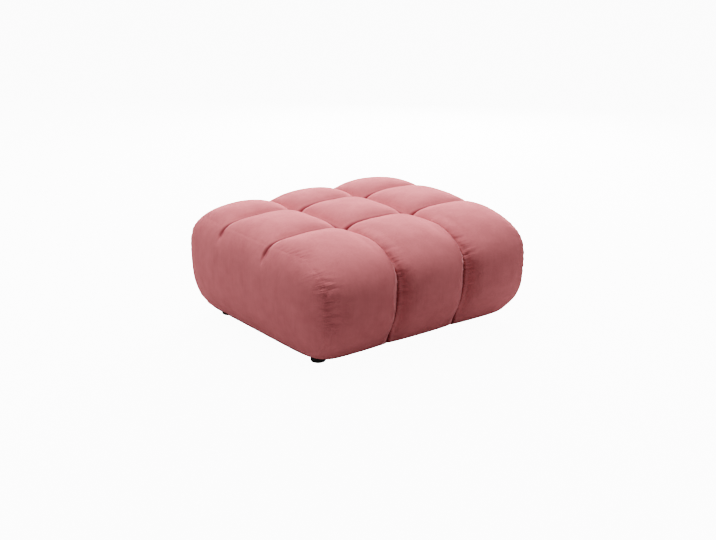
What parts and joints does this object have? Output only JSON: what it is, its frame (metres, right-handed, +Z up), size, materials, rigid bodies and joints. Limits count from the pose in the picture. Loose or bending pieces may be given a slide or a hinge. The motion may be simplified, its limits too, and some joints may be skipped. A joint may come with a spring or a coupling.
{
  "type": "velvet pouf",
  "caption": "Large low upholstered velvet pouf with nine rounded lobes drawn in by sewn channels, on a thin base board with four short round feet.",
  "frame": {"origin": "on the floor under the middle of the body's footprint", "axes": "+Z up, +X to the right along the front face, -Y out of the front face that carries the two full-height channels"},
  "size_m": [1.042, 0.9842, 0.447],
  "materials": {
    "velvet": "dusty rose cut-pile velvet, matt with a soft sheen on the turned edges",
    "underside_cloth": "dark matt dust cover over the base board",
    "foot": "black, satin"
  },
  "bodies": {
    "root": {"pouf_body": "velvet", "base_board": "underside_cloth", "foot_front_left": "foot", "foot_front_right": "foot", "foot_back_left": "foot", "foot_back_right": "foot"}
  },
  "joints": []
}
